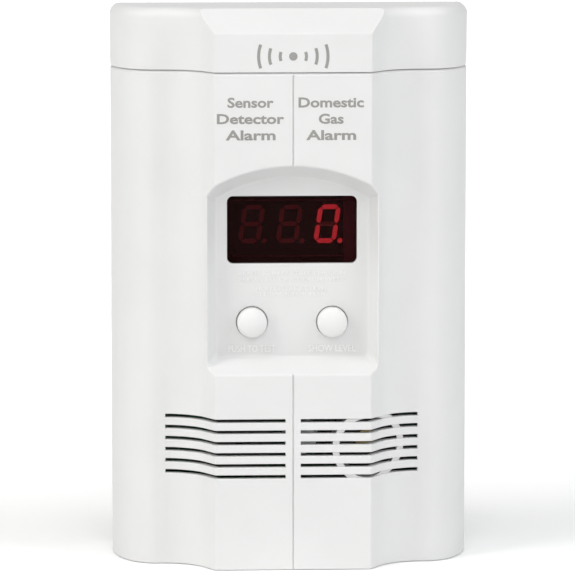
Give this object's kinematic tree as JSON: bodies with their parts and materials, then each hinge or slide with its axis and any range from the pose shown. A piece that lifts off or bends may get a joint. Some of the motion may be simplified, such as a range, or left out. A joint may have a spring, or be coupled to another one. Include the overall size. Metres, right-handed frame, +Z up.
{
  "type": "carbon monoxide detector",
  "caption": "Plug-in carbon monoxide and gas alarm with a recessed digital display, push buttons, louvred vents and a hinged battery door on top.",
  "frame": {"origin": "on the flat back of the power module, midway between the two plug blades", "axes": "+Y out of the back along the plug blades, towards the wall; +Z up along the height; the display faces -Y"},
  "size_m": [0.095, 0.059, 0.1475],
  "materials": {
    "casing": "white moulded ABS with a very fine texture",
    "button": "white moulded plastic, slightly smoother than the casing",
    "lens": "dark red tinted transparent window, polished",
    "black_plastic": "black moulded plastic",
    "grey_plastic": "grey moulded plastic",
    "board": "green lacquered circuit board",
    "steel": "zinc-plated steel",
    "brass": "plain brass",
    "capacitor_sleeve": "shrink sleeve",
    "battery_jacket": "printed metal jacket, plain dark with a bright end band",
    "red_wire": "PVC insulation",
    "black_wire": "PVC insulation"
  },
  "bodies": {
    "case": {"front_cover": "casing", "rear_housing": "casing", "display_lens": "lens", "hinge_pin_left": "steel", "hinge_pin_right": "steel", "case_screw_1": "steel", "case_screw_2": "steel", "case_screw_3": "steel", "case_screw_4": "steel", "test_switch_body": "black_plastic", "level_switch_body": "black_plastic", "main_board": "board", "display_module": "black_plastic", "co_sensor_cell": "black_plastic", "co_sensor_cap": "grey_plastic", "gas_sensor": "steel", "horn_case": "black_plastic", "piezo_disc": "brass", "microcontroller": "black_plastic", "capacitor_upper": "capacitor_sleeve", "capacitor_lower": "capacitor_sleeve", "board_screw_1": "steel", "board_screw_2": "steel", "board_screw_3": "steel", "board_screw_4": "steel", "battery_tray": "casing", "battery": "battery_jacket", "battery_snap": "black_plastic", "battery_lead_red": "red_wire", "battery_lead_black": "black_wire", "power_module_case": "casing", "power_module_lid": "casing", "plug_blade_left": "brass", "plug_blade_right": "brass", "power_board": "board", "transformer": "steel", "filter_capacitor": "capacitor_sleeve", "power_lead_red": "red_wire", "power_lead_black": "black_wire", "module_screw": "steel"},
    "battery_door": {"battery_door": "casing"},
    "test_button": {"test_button": "button", "test_switch_plunger": "black_plastic"},
    "level_button": {"level_button": "button", "level_switch_plunger": "black_plastic"}
  },
  "joints": [
    {"name": "battery_door_hinge", "type": "hinge", "parent": "case", "child": "battery_door", "pos_m": [0, -0.008, 0.081], "axis": [-1, 0, 0], "range_deg": [0, 95]},
    {"name": "test_button_press", "type": "slide", "parent": "case", "child": "test_button", "axis": [0, 1, 0], "range_m": [0, 0.0007], "stiffness_N_per_m": 1500, "springref_m": -0.0003},
    {"name": "level_button_press", "type": "slide", "parent": "case", "child": "level_button", "axis": [0, 1, 0], "range_m": [0, 0.0007], "stiffness_N_per_m": 1500, "springref_m": -0.0003}
  ]
}
